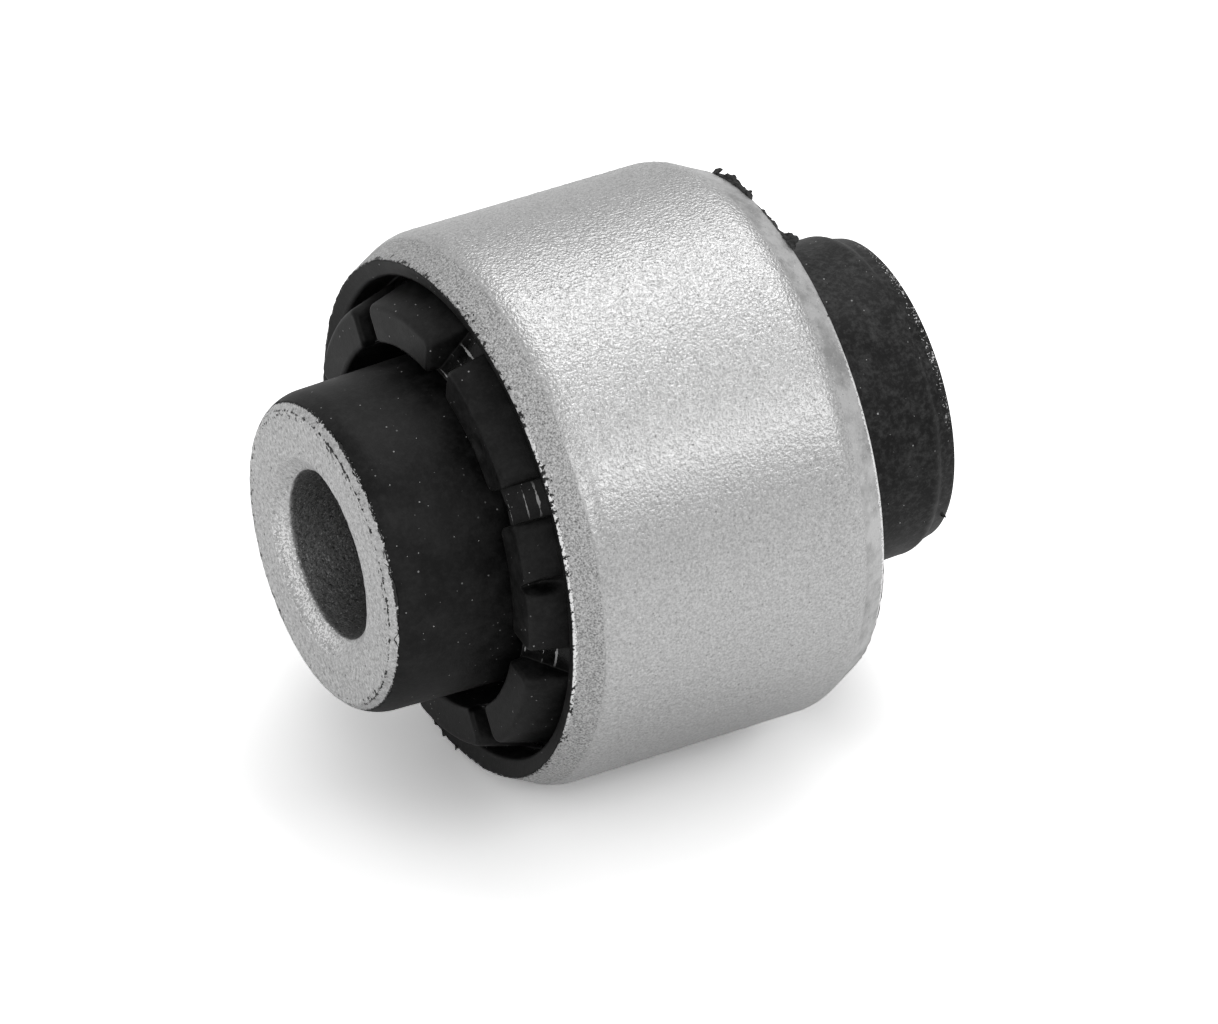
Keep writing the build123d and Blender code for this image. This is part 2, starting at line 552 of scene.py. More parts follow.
@dataclass(frozen=True)
class Rubber:
    """Natural rubber filled with carbon black, moulded against steel tooling.

    It is near black and satin. The slot floors are the second zone: polished, with pale streaks painted on
    rings as highlights. Pale dust lies on it, a paler grey layer covers it most below the lower of that
    layer's heights and less above the upper, and flecks of bare steel show through the skirt's edge on one
    side. A span is the stretch of a random pattern over which a look sets in.
    """

    kind: Finish
    dark: str
    light: str
    roughness: float
    zone_roughness: float
    sheen: float
    grain: float = 0.16
    grain_depth: float = 0.012
    # Rings of painted highlight streaks on the polished slot floors
    highlight_rings: tuple[Ring, ...] = (Ring(13.35, 0.08, 0.7), Ring(14.45, 0.09, 0.9), Ring(15.22, 0.17, 1.2))
    highlight_colour: str = "#c4c4c4"
    pale_layer_colour: str = "#5e5e5e"
    pale_layer_share: float = 0.42
    pale_layer_above: float = 0.2
    pale_layer_heights: tuple[float, float] = (-12.0, -5.0)
    pale_layer_span: tuple[float, float] = (0.44, 0.7)
    pale_layer_spread: float = 0.2
    body_span: tuple[float, float] = (0.4, 0.68)
    sheen_span: tuple[float, float] = (0.3, 0.7)
    sheen_change: tuple[float, float] = (-0.06, 0.08)
    dust: str = "#d6d6d6"
    dust_pitch: float = 0.42
    dust_size: float = 0.07
    dust_share: float = 0.5
    dust_least: float = 0.3
    dust_span: tuple[float, float] = (0.42, 0.62)
    dust_shades: tuple[float, float] = (0.1, 0.85)
    fleck_spread: float = 0.25
    flecks: Ring = Ring(11.1, 0.2, 0.24)
    flecks_side: Side = Side(-66.0, 7.5, 9.5)
    flecks_height: float = 21.6

    def material(self) -> bpy.types.Material:
        """Builds the material.

        Returns:
            The rubber material.
        """
        material = bpy.data.materials.new(self.kind.value)
        add = fresh_nodes(material)
        noise = random_patterns(add, {
            "cloud": (2.2, 5.0, 0.72), "grain": (self.grain, 2.0, 0.5), "pale_layer": (0.45, 5.0, 0.75),
            "line": (0.7, 3.0, 0.6), "spot": (0.17, 2.0, 0.6),
        })
        zone = add("Attribute", attribute_name="zone")["Fac"]
        least, most = (self.roughness + change for change in self.sheen_change)
        uneven = add("MapRange", (noise["cloud"], *self.sheen_span, least, most))[0]
        shader = add("BsdfPrincipled", {
            "Base Color": self._marked(add, noise, zone),
            "Roughness": add("Mix", {0: zone, 2: uneven, 3: self.zone_roughness}, data_type="FLOAT")[0],
            "Specular IOR Level": self.sheen,
            "Normal": add("Bump", {
                "Height": noise["grain"], "Distance": self.grain_depth * MM, "Strength": 1.0,
            })[0],
        })[0]
        add("OutputMaterial", {"Surface": shader})
        return material

    def _marked(self, add: AddNode, noise: dict[str, Socket], zone: Socket) -> Socket:
        """Colour with the paler grey layer, the painted highlight streaks on the slot floors, the skirt's
        flecks and the dust.

        Args:
            add: Adds a node to the material.
            noise: The random patterns.
            zone: How far a point is on a slot floor.

        Returns:
            The colour.
        """
        level = add("SeparateXYZ", (add("TexCoord")["Object"],))["Z"]
        low, high = (height * MM for height in self.pale_layer_heights)
        # Paler grey layer: its full share below the lower height, a smaller share above the upper one
        lower = add("MapRange", (level, low, high, self.pale_layer_share, self.pale_layer_above * self.pale_layer_share))[0]
        clustered = {}
        for name, spread in (("pale_layer", self.pale_layer_spread), ("spot", self.fleck_spread)):
            group = add("MapRange", (noise["cloud"], 0.0, 1.0, -spread, spread))[0]
            clustered[name] = add("Math", (noise[name], group), operation="ADD")[0]
        pale_layer = add("MapRange", (clustered["pale_layer"], *self.pale_layer_span, 0.0, lower))[0]
        # Painted highlight streaks along rings on the slot floors
        highlight_rings = ring_marks(add, noise["line"], self.highlight_rings, (zone,))
        on_skirt = (facing(add, self.flecks_side), near_ends(add, self.flecks_height))
        flecks = ring_marks(add, clustered["spot"], (self.flecks,), on_skirt)
        specks = add("Math", (flecks, self._dust_mask(add, noise["cloud"])), operation="MAXIMUM")[0]
        body = add("MapRange", (noise["cloud"], *self.body_span, 0.0, 1.0))[0]
        plain = layered(add, self.dark, (body, self.light), (pale_layer, self.pale_layer_colour))
        return layered(add, plain, (highlight_rings, self.highlight_colour), (specks, self.dust))

    def _dust_mask(self, add: AddNode, cloud: Socket) -> Socket:
        """Marks small round specks in some cells of a random pattern, thicker in some places than in others.

        Args:
            add: Adds a node to the material.
            cloud: A slow random pattern.

        Returns:
            Up to one on a speck and zero elsewhere.
        """
        where = add("TexCoord")["Object"]
        cells = add("TexVoronoi", {"Vector": where, "Scale": 1 / (self.dust_pitch * MM), "Randomness": 1.0})
        shade = add("SeparateColor", (cells["Color"],))
        reach = self.dust_size / self.dust_pitch
        limit = add("MapRange", (shade[1], 0.0, 1.0, reach * self.dust_least, reach))[0]
        near = add("Math", (cells["Distance"], limit), operation="LESS_THAN")[0]
        thin = add("MapRange", (cloud, *self.dust_span, 1.0, 1.0 - self.dust_share))[0]
        chosen = add("Math", (shade[0], thin), operation="GREATER_THAN")[0]
        mask = add("MapRange", (shade[2], 0.0, 1.0, *self.dust_shades))[0]
        for part in (near, chosen):
            mask = add("Math", (mask, part), operation="MULTIPLY")[0]
        return mask


@dataclass
class OuterSleeve:
    """The outer steel sleeve: a plain tube with a blended chamfer at each end.

    The blasted pebbles are a wave and a finer one, worn down in wide patches. They fade out at the mouth,
    and on the lower chamfer they keep only a share of their height.
    """

    radius: float
    end: float
    wall: float = 1.75
    chamfer_width: float = 1.35
    chamfer_length: float = 2.7
    blend: float = 3.0
    edge: float = 0.07
    edge_middle: tuple[float, float] = (0.02, 0.035)
    columns: int = 704
    pebble: float = 0.6
    pebble_height: float = 0.008
    fine_length: float = 0.7
    fine_share: float = 0.5
    patch: float = 14.0
    patch_waves: int = 24
    patch_change: float = 0.35
    patch_limits: tuple[float, float] = (0.35, 1.7)
    mouth_fade: float = 0.15
    chamfer_drop: float = 0.31
    chamfer_fade: float = 0.08
    lower_chamfer_share: float = 0.3

    @property
    def bore(self) -> float:
        """Radius of the wall that the rubber is bonded to."""
        return self.radius - self.wall

    @property
    def mouth(self) -> float:
        """Radius of the edge where steel and rubber meet at the end."""
        return self.radius - self.chamfer_width

    def profile(self) -> np.ndarray:
        """Half profile from the middle of the outside, over the upper end, to the middle of the bore.

        Returns:
            Array of (radius, height) rows.
        """
        corner = np.array([self.radius, self.end - self.chamfer_length])
        lip = np.array([self.mouth, self.end])
        slope = (lip - corner) / np.linalg.norm(lip - corner)
        turn = math.acos(slope[1])
        reach = self.blend * math.tan(turn / 2)
        blend_start = corner - (0, reach)
        half_way = np.array([math.cos(turn / 2) - 1, math.sin(turn / 2)])
        return chain(
            (self.radius, 0),
            (44, blend_start),
            (8, blend_start + self.blend * half_way, corner + slope * reach),
            (9, lip - slope * self.edge),
            (3, lip - self.edge_middle, lip - (self.edge, self.edge)),
            (2, (self.bore, self.end - self.mouth + self.bore)),
            (2, (self.bore, 0)),
        )

    def build(self) -> bpy.types.Object:
        """Turns the profile and lifts the blasted outside into small pebbles.

        Returns:
            The sleeve.
        """
        loop, points = tube(self.profile(), self.columns)
        radius, height = loop.T
        on_chamfer = np.clip((self.radius - self.chamfer_drop - radius) / self.chamfer_fade, 0, 1)
        calm = np.where(height < 0, self.lower_chamfer_share, 1.0)
        outside = np.clip((radius - self.mouth) / self.mouth_fade, 0, 1) * (1 - on_chamfer * (1 - calm))
        relief = waves(points, self.pebble, SEED)
        relief = relief + self.fine_share * waves(points, self.pebble * self.fine_length, SEED + 1)
        worn = 1 + self.patch_change * waves(points, self.patch, SEED + 2, self.patch_waves)
        lift = self.pebble_height * relief * np.clip(worn, *self.patch_limits) * outside[:, None]
        points[..., :2] *= (1 + lift / radius[:, None])[..., None]
        skin = Patchwork("outer_sleeve_skin")
        skin.add(points, (on_chamfer * calm)[:, None], close_rows=True)
        return skin.build()


@dataclass
class InnerSleeve:
    """The inner steel sleeve: a thick tube with a chamfered bore and a small rim chamfer.

    The turned grain is a fine wave and a coarse one. It shows wherever no rubber covers the steel.
    """

    radius: float
    end: float
    bore: float = 6.1
    bore_chamfer_width: float = 1.2
    bore_chamfer_depth: float = 0.9
    rim_chamfer: float = 0.5
    edge: float = 0.06
    dense: float = 6.0
    columns: int = 480
    grain: float = 0.55
    grain_height: float = 0.007
    coarse_length: float = 1.9
    coarse_share: float = 0.6
    covered: float = 0.02
    bore_fade: float = 0.05

    def profile(self) -> np.ndarray:
        """Half profile from the middle of the bore, over the upper end, to the middle of the outside.

        Returns:
            Array of (radius, height) rows.
        """
        soft = self.edge
        fall = soft * self.bore_chamfer_depth / self.bore_chamfer_width
        foot = self.end - self.bore_chamfer_depth
        top = self.bore + self.bore_chamfer_width
        rim = self.radius - self.rim_chamfer
        return chain(
            (self.bore, 0),
            (8, (self.bore, self.end - self.dense)),
            (22, (self.bore, foot - soft)),
            (2, (self.bore + soft, foot + fall)),
            (8, (top - soft, self.end - fall)),
            (2, (top + soft, self.end)),
            (18, (rim - soft, self.end)),
            (2, (rim + soft, self.end - soft)),
            (4, (self.radius, self.end - self.rim_chamfer)),
            (3, (self.radius, 0)),
        )

    def build(self) -> bpy.types.Object:
        """Turns the profile and roughens its ends and bore.

        Returns:
            The sleeve.
        """
        loop, points = tube(self.profile(), self.columns)
        relief = waves(points, self.grain, SEED + 5)
        relief = relief + self.coarse_share * waves(points, self.grain * self.coarse_length, SEED + 6)
        step = np.gradient(loop, axis=0)
        normal = np.stack([-step[:, 1], step[:, 0]], 1)
        normal /= np.linalg.norm(normal, axis=1)[:, None] + 1e-9
        bare = (loop[:, 0] < self.radius - self.covered)[:, None]
        lift = self.grain_height * relief * bare
        points[..., :2] += (lift * normal[:, 0, None] / loop[:, 0, None])[..., None] * points[..., :2]
        points[..., 2] += lift * normal[:, 1, None]
        # Zone one in the bore, where the finish paints darker colours as shade inside the bore
        in_bore = np.clip((self.bore + self.bore_fade - loop[:, 0]) / self.bore_fade, 0, 1)[:, None]
        skin = Patchwork("inner_sleeve_skin")
        skin.add(points, in_bore, close_rows=True)
        return skin.build()


@dataclass
class LobeRing:
    """The ring of lobes at one end, with the slots between them.

    Each lobe is worked out about its own centre line. A closed loop of points goes round the lobe, from the
    middle of its inner edge, round the right side, to the middle of its outer edge and back on the left. The
    first loop follows the middles of the two slots, the next ones sweep over the slots' floors, climb the
    walls and go round the rim. A patch stretched between the sides of the last loop closes the face. Where a
    wall stands on no floor, its foot keeps the hem's height above one.
    """

    face: float
    inside: float
    outside: float
    foot_radius: float
    groove_depth: float
    flare_depth: float
    count: int = 8
    slot_width: float = 2.6
    slot_drop: float = 0.95
    flare: float = 16.0
    draft: float = 1.5
    inner_corner: float = 0.55
    outer_corner: float = 0.7
    rim: float = 0.3
    floor_slope: float = 38.0
    along: int = 18
    half_corner: int = 3
    side: int = 18
    crowding: float = 1.45
    ridges: tuple[float, float] = (14.45, 15.22)
    ridge_height: float = 0.05
    ridge_width: float = 0.14
    hem: float = 0.1
    inner_hem: float = 0.06
    hem_fades: tuple[float, float] = (0.1, 0.15)
    sweep: tuple[float, ...] = (0.0, 0.3, 0.6, 0.82, 0.94)
    sweep_lift: float = 0.07
    sweep_power: int = 6
    wall_start: float = 0.08
    climb: tuple[float, ...] = (0.0, 0.06, 0.2, 0.4, 0.6, 0.8, 1.0)
    rim_turns: tuple[float, ...] = (22, 45, 68, 90)
    settling_rounds: int = 6

    @property
    def half_pitch(self) -> float:
        """Half the angle from one lobe to the next, in radians."""
        return math.pi / self.count

    @property
    def start_radius(self) -> float:
        """Radius of the inner seam, on the groove's wall just under the slots."""
        return self.inside - self.slot_drop * math.tan(math.radians(self.draft))

    @property
    def start_height(self) -> float:
        """Height of the inner seam."""
        return self.face - self.slot_drop

    @property
    def foot_height(self) -> float:
        """Height of the outer seam, where the slots run out."""
        fall = (self.foot_radius - self.start_radius) * math.tan(math.radians(self.floor_slope))
        return self.start_height - fall

    @property
    def groove_floor(self) -> float:
        """Height of the ring groove's floor."""
        return self.face - self.groove_depth

    @property
    def flare_foot(self) -> float:
        """Height of the floor of the narrow groove outside the lobes."""
        return self.face - self.flare_depth

    @property
    def seam(self) -> int:
        """Number of steps from a lobe's centre line to the middle of a slot."""
        return self.along + self.half_corner

    def seam_angles(self) -> np.ndarray:
        """Angles of the seam points from one slot to the next, without the last, crowded to the centre.

        Returns:
            Array of angles from the lobe's centre line.
        """
        share = np.arange(-self.seam, self.seam) / self.seam
        return np.sign(share) * np.abs(share) ** self.crowding * self.half_pitch

    def columns(self, centres: np.ndarray) -> np.ndarray:
        """Angles of all the seam points, lobe after lobe."""
        return (centres[:, None] + self.seam_angles()).ravel()

    def edges(self, height: np.ndarray) -> tuple[np.ndarray, np.ndarray]:
        """Inner and outer radius of a lobe at a height: both walls lean."""
        below = self.face - height
        inner = self.inside - below * math.tan(math.radians(self.draft))
        return inner, self.outside + below * math.tan(math.radians(self.flare))

    def outline(
        self, inner: np.ndarray, outer: np.ndarray, inset: np.ndarray
    ) -> tuple[np.ndarray, np.ndarray]:
        """Half outline of a lobe: inner arc, corner arc, straight side, corner arc, outer arc.

        Beside a slot, u runs along the slot's middle and v away from it. A corner arc's centre lies its own
        radius inside the side and the arc that it joins.

        Args:
            inner: Radius of the inner edge for each point.
            outer: Radius of the outer edge for each point.
            inset: How far each point's outline is drawn in.

        Returns:
            Radius and angle of each point.
        """
        steps = [self.along, 2 * self.half_corner, self.side, 2 * self.half_corner, self.along]
        part = np.append(np.repeat(np.arange(len(steps)), steps), len(steps) - 1)
        share = np.append(np.concatenate([np.arange(n) / n for n in steps]), 1.0)
        side_at = self.slot_width / 2 + inset
        small, large = self.inner_corner - inset, self.outer_corner - inset
        inner, outer = inner + inset, outer - inset
        small_v, large_v = side_at + small, side_at + large
        small_u = np.sqrt((inner + small) ** 2 - small_v ** 2)
        large_u = np.sqrt((outer - large) ** 2 - large_v ** 2)
        small_turn, large_turn = np.arctan2(small_v, small_u), np.arctan2(large_v, large_u)
        small_way = math.pi + small_turn + share * (math.pi / 2 - small_turn)
        large_way = -math.pi / 2 + share * (math.pi / 2 + large_turn)
        u = np.select(
            [part == 1, part == 2, part == 3],
            [small_u + small * np.cos(small_way), small_u + share * (large_u - small_u),
             large_u + large * np.cos(large_way)],
            1.0,
        )
        v = np.select(
            [part == 1, part == 2, part == 3],
            [small_v + small * np.sin(small_way), side_at, large_v + large * np.sin(large_way)],
            0.0,
        )
        radius = np.select([part == 0, part == 4], [inner, outer], np.hypot(u, v))
        angle = np.select(
            [part == 0, part == 4],
            [(self.half_pitch - small_turn) * share ** self.crowding,
             (self.half_pitch - large_turn) * (1 - share) ** self.crowding],
            self.half_pitch - np.arctan2(v, u),
        )
        return radius, angle

    def floor(self, radius: np.ndarray) -> np.ndarray:
        """Height of a slot's floor: a slope with two fine ridges that run round it.

        Args:
            radius: Distance from the axis.

        Returns:
            Height of the floor.
        """
        share = (radius - self.start_radius) / (self.foot_radius - self.start_radius)
        plain = self.start_height + share * (self.foot_height - self.start_height)
        lift = sum(np.exp(-(((radius - ridge) / self.ridge_width) ** 2)) for ridge in self.ridges)
        return plain + self.ridge_height * lift

    def half_loops(self) -> tuple[np.ndarray, np.ndarray, np.ndarray, np.ndarray]:
        """Right halves of all the loops.

        Returns:
            Radius, angle, height and slot floor share, each of shape (loops, points).
        """
        total = 2 * self.seam + self.side + 2 * self.half_corner
        index = np.arange(total + 1)
        first, last = self.seam, total - self.seam
        share = np.clip((index - first) / (last - first), 0, 1)
        seam_radius = self.start_radius + share * (self.foot_radius - self.start_radius)
        lean = np.clip(np.minimum(index, total - index) / self.seam, 0, 1) ** self.crowding
        seam_angle = self.half_pitch * lean
        seam_height = self.floor(seam_radius)
        seam_height[:first + 1] = self.start_height
        seam_height[last:] = self.foot_height
        on_floor = (index >= first) & (index <= last)
        flat = np.zeros(total + 1)
        foot = np.where(index < first, self.start_height + self.inner_hem, self.foot_height + self.hem)
        foot = np.where(on_floor, seam_height, foot)
        for _ in range(self.settling_rounds):
            radius, angle = self.outline(*self.edges(foot), flat)
            blend = np.clip((radius - self.start_radius) / self.hem_fades[0], 0, 1)
            blend = blend * np.clip((self.foot_radius - radius) / self.hem_fades[1], 0, 1)
            foot = self.floor(radius) + self.hem * (1 - blend)
        rows = []
        for step in self.sweep:
            swept = seam_radius + step * (radius - seam_radius)
            swept_angle = seam_angle + step * (angle - seam_angle)
            lift = self.sweep_lift * step ** self.sweep_power
            height = self.floor(swept) + lift if step else seam_height
            height = np.where(on_floor, height, seam_height + step * (foot - seam_height))
            rows.append((swept, swept_angle, height, (1 - step ** 2) * on_floor))
        start, top = foot + self.wall_start, self.face - self.rim
        for step in self.climb:
            height = start + step * (top - start)
            rows.append((*self.outline(*self.edges(height), flat), height, flat))
        for turn in np.radians(self.rim_turns):
            height = flat + top + self.rim * math.sin(turn)
            inset = flat + self.rim * (1 - math.cos(turn))
            rows.append((*self.outline(*self.edges(height), inset), height, flat))
        return tuple(np.array(column) for column in zip(*rows))

    def face_patch(self, across: np.ndarray, out: np.ndarray) -> tuple[np.ndarray, np.ndarray]:
        """Stretches a grid between the four sides of a closed loop.

        Each point is the sum of the two straight blends between facing sides, less the blend of the corners.

        Args:
            across: Sideways places along the loop.
            out: Outward places along the loop.

        Returns:
            Sideways and outward places, of shape (out steps, across steps).
        """
        total = len(across)
        first, last = self.seam, total // 2 - self.seam
        inner = np.arange(-first, first + 1) % total
        outer = np.arange(total - last, last - 1, -1) % total
        left = np.arange(total - first, total - last - 1, -1) % total
        right = np.arange(first, last + 1)
        result = []
        spread = across[inner]
        s = ((spread - spread[0]) / (spread[-1] - spread[0]))[None, :]
        rise = out[right]
        t = ((rise - rise[0]) / (rise[-1] - rise[0]))[:, None]
        for place_of in (across, out):
            low, high = place_of[inner][None, :], place_of[outer][None, :]
            west, east = place_of[left][:, None], place_of[right][:, None]
            corner = (1 - s) * (1 - t) * low[0, 0] + s * (1 - t) * low[0, -1]
            corner = corner + (1 - s) * t * high[0, 0] + s * t * high[0, -1]
            result.append((1 - t) * low + t * high + (1 - s) * west + s * east - corner)
        return result[0], result[1]


@dataclass
class Damage:
    """The wedge torn out of one lobe's outside and the dent in the next lobe's face."""

    tear_angle: float = -111.6
    tear_apex: float = 14.85
    tear_foot: float = 17.18
    tear_root: float = 0.175
    tear_mouth: float = 1.05
    tear_depth: float = 2.6
    tear_fade: float = 0.25
    tear_half_angle: float = 0.2
    ragged: float = 0.25
    ragged_turns: tuple[float, float] = (7.0, 3.1)
    ragged_start: float = 1.0
    dent_angle: float = -71.5
    dent_reach: float = 14.3
    dent_radius: float = 1.1
    dent_depth: float = 0.4
    dent_below: float = 0.6

    def tear(self, radius: np.ndarray, angle: np.ndarray, height: np.ndarray, face: float) -> np.ndarray:
        """Draws the outside in along a wedge: at its middle to the apex, at its edges not at all.

        Args:
            radius: Distances from the axis.
            angle: Angles in the part's frame, in radians.
            height: Heights.
            face: Height of the lobe's face.

        Returns:
            The new distances from the axis.
        """
        off = np.angle(np.exp(1j * (angle - math.radians(self.tear_angle))))
        aside = np.abs(radius * np.sin(off))
        share = np.clip((radius - self.tear_apex) / (self.tear_foot - self.tear_apex), 0, 1)
        half = self.tear_root + share * (self.tear_mouth - self.tear_root)
        quick, slow = self.ragged_turns
        ragged = 1 + self.ragged * np.sin(height * quick) * np.sin(height * slow + self.ragged_start)
        inside = np.clip(aside / (half * ragged), 0, 1)
        depth = np.clip((height - face + self.tear_depth) / self.tear_fade, 0, 1)
        pulled = self.tear_apex + (radius - self.tear_apex) * inside
        hit = (np.abs(off) < self.tear_half_angle) & (radius > self.tear_apex)
        return np.where(hit, radius + (pulled - radius) * depth, radius)

    def dent(self, points: np.ndarray, face: float) -> None:
        """Presses a shallow round cup into the face, in place.

        Args:
            points: Points in the part's frame.
            face: Height of the lobe's face.
        """
        turn = math.radians(self.dent_angle)
        middle = self.dent_reach * np.array([math.cos(turn), math.sin(turn)])
        away = np.linalg.norm(points[..., :2] - middle, axis=-1)
        centre = face + self.dent_radius - self.dent_depth
        cup = centre - np.sqrt(np.clip(self.dent_radius ** 2 - away ** 2, 0, None))
        near = (away < self.dent_radius) & (points[..., 2] > face - self.dent_below)
        points[..., 2] = np.where(near, np.minimum(points[..., 2], cup), points[..., 2])


@dataclass
class RubberBody:
    """The rubber moulding: coats on the inner sleeve, a web, two rings of lobes and the lining."""

    inner_radius: float
    inner_end: float
    outer_end: float
    sleeve_bore: float
    mouth: float
    rim_chamfer: float = 0.5
    coat_end: float = 0.52
    coat_root: float = 0.85
    shoulder: float = 1.75
    lower_end: float = 0.59
    lower_root: float = 1.05
    lower_shoulder: float = 0.95
    lower_bulge: float = 0.14
    skirt: float = 0.24
    skirt_length: float = 1.25
    skirt_taper: float = 0.31
    groove_depth: float = 6.0
    groove_width: float = 1.25
    groove_bulge: float = 0.42
    standout: float = 1.8
    lower_standout: float = 1.1
    lining: float = 0.9
    lip_drop: float = 0.28
    lip_radius: float = 0.4
    flare_gap: float = 0.27
    flare_depth: float = 4.3
    first_gap: float = -90.0
    ragged: float = 0.075
    lower_ragged: float = 0.03
    rim_nick: float = 0.85
    rim_sweep: float = 2.4
    rim_sweep_share: float = 0.6
    mouth_nick: float = 0.8
    nick_waves: int = 30
    sweep_waves: int = 20
    rim_cover: float = 0.012
    mouth_cover: float = 0.03
    over_chamfer: tuple[float, float] = (0.45, -0.89)
    down_bevel: tuple[float, float] = (1.0, 0.5)
    bond_top: float = 0.97
    damage: Damage = field(default_factory=Damage)

    def __post_init__(self) -> None:
        """Works out the sizes that follow from the driving ones."""
        self.root = self.inner_radius + self.coat_root
        self.lining_radius = self.sleeve_bore - self.lining
        self.upper = self.ring_at(self.outer_end + self.standout)
        self.lower = self.ring_at(self.outer_end + self.lower_standout)
        pitch = 360 / self.upper.count
        self.centres = np.radians(self.first_gap + pitch / 2 + pitch * np.arange(self.upper.count))

    def ring_at(self, face: float) -> LobeRing:
        """The ring of lobes whose faces lie at this height."""
        flare_radius = self.lining_radius - self.flare_gap
        return LobeRing(
            face=face,
            inside=self.root + self.groove_width,
            outside=flare_radius - self.flare_depth * math.tan(math.radians(LobeRing.flare)),
            foot_radius=flare_radius,
            groove_depth=self.groove_depth,
            flare_depth=self.flare_depth,
        )

    def upper_coat(self) -> np.ndarray:
        """Profile of the upper coat, from the steel rim to the groove's root.

        Returns:
            Array of (radius, height) rows.
        """
        rim = (self.inner_radius, self.inner_end - self.rim_chamfer)
        foot = (self.inner_radius + self.coat_end, rim[1] - self.shoulder)
        return chain(rim, (10, tangent_middle(foot, rim), foot), (14, (self.root, self.upper.groove_floor)))

    def lower_coat(self) -> np.ndarray:
        """Profile of the lower coat, measured upwards from the middle as if it were an upper one.

        Returns:
            Array of (radius, height) rows.
        """
        end = (self.inner_radius + self.skirt - self.skirt_taper, self.inner_end)
        step = (self.inner_radius + self.skirt, self.inner_end - self.skirt_length)
        top = (self.inner_radius + self.lower_end, step[1] - self.lower_shoulder)
        bulge = ((top[0] + step[0]) / 2 + self.lower_bulge, (top[1] + step[1]) / 2)
        root = (self.inner_radius + self.lower_root, self.lower.groove_floor)
        rim = (self.inner_radius - self.rim_chamfer, self.inner_end)
        return chain(rim, (3, end), (6, step), (8, bulge, top), (12, root))

    def groove(self, ring: LobeRing, root: float) -> np.ndarray:
        """Profile of the ring groove, from its root to the seam under the slots, without its first point.

        Args:
            ring: The ring of lobes at this end.
            root: Radius where the coat meets the groove's floor.

        Returns:
            Array of (radius, height) rows.
        """
        draft = math.tan(math.radians(ring.draft))
        wall_foot = (ring.inside - self.groove_depth * draft, ring.groove_floor)
        middle = ((root + wall_foot[0]) / 2, ring.groove_floor - self.groove_bulge)
        seam = (ring.start_radius, ring.start_height)
        return chain((root, ring.groove_floor), (8, middle, wall_foot), (8, seam))[1:]

    def lining_profile(self, ring: LobeRing) -> np.ndarray:
        """Profile from the outer seam, down the narrow groove and up the lining, to the steel's mouth.

        Args:
            ring: The ring of lobes at this end.

        Returns:
            Array of (radius, height) rows.
        """
        seam = (ring.foot_radius, ring.foot_height)
        foot = (ring.foot_radius, ring.flare_foot)
        wall = (self.lining_radius, ring.flare_foot)
        middle = ((foot[0] + wall[0]) / 2, ring.flare_foot - (wall[0] - foot[0]) / 2)
        lip_foot = (self.lining_radius, self.outer_end - self.lip_drop - self.lip_radius)
        lip = (self.lining_radius + self.lip_radius, self.outer_end - self.lip_drop)
        return chain(
            seam,
            (2, foot),
            (4, middle, wall),
            (6, lip_foot),
            (6, tangent_middle(lip_foot, lip), lip),
            (6, (self.mouth, self.outer_end)),
        )

    def lobes(self, ring: LobeRing, damaged: bool) -> tuple[np.ndarray, np.ndarray, np.ndarray]:
        """Points of the lobes' walls and faces.

        Args:
            ring: The ring of lobes at this end.
            damaged: True tears one lobe and dents the next.

        Returns:
            Wall points of shape (lobes, loops, points, 3), their slot floor share, and face points.
        """
        halves = zip(ring.half_loops(), (1, -1, 1, 1))
        radius, angle, height, zone = (np.concatenate([h, way * h[:, -2:0:-1]], 1) for h, way in halves)
        turn = self.centres[:, None, None] + angle[None]
        radius = np.broadcast_to(radius, turn.shape)
        if damaged:
            radius = self.damage.tear(radius, turn, height, ring.face)
        walls = around(radius, turn, height)
        faces = []
        for centre, rim, rim_turn in zip(self.centres, radius[:, -1], turn[:, -1]):
            local = rim_turn - centre
            across, out = ring.face_patch(rim * np.sin(local), rim * np.cos(local))
            x = out * math.cos(centre) - across * math.sin(centre)
            y = out * math.sin(centre) + across * math.cos(centre)
            faces.append(np.stack([x, y, np.full_like(x, ring.face)], -1))
        faces = np.array(faces)
        if damaged:
            self.damage.dent(walls, ring.face)
            self.damage.dent(faces, ring.face)
        return walls, np.broadcast_to(zone, turn.shape), faces

    def add_end(self, skin: Patchwork, coat: np.ndarray, upper: bool) -> tuple[np.ndarray, np.ndarray]:
        """Adds one end of the moulding.

        Args:
            skin: Where the grids go.
            coat: Profile of this end's coat.
            upper: True for the end with the torn lobe.

        Returns:
            The rows of points at the inner sleeve's rim and at the outer sleeve's mouth.
        """
        way = np.array([1, 1, 1 if upper else -1])
        ring = self.upper if upper else self.lower
        columns = ring.columns(self.centres)
        inner = revolved(np.concatenate([coat, self.groove(ring, coat[-1, 0])]), columns)
        if upper:
            wander = waves(inner[0], self.rim_nick, SEED + 7, self.nick_waves)
            sweep = waves(inner[0], self.rim_sweep, SEED + 8, self.sweep_waves)
            wander = self.ragged * (wander + self.rim_sweep_share * sweep)
            inner[0] = self._rim_edge(wander, columns)
            inner[1] = (inner[0] + 2 * inner[1] + inner[2]) / 4
        outer = revolved(self.lining_profile(ring), columns)
        ragged = self.ragged if upper else self.lower_ragged
        wander = ragged * waves(outer[-1], self.mouth_nick, SEED + 11, self.nick_waves)
        outer[-1] = self._mouth_edge(wander, columns)
        walls, zone, faces = self.lobes(ring, damaged=upper)
        for points in (inner, outer):
            skin.add(points * way)
        for wall, floor_share, face in zip(walls, zone, faces):
            skin.add(wall * way, floor_share)
            skin.add(face * way, close_columns=False)
        return inner[0] * way, outer[-1] * way

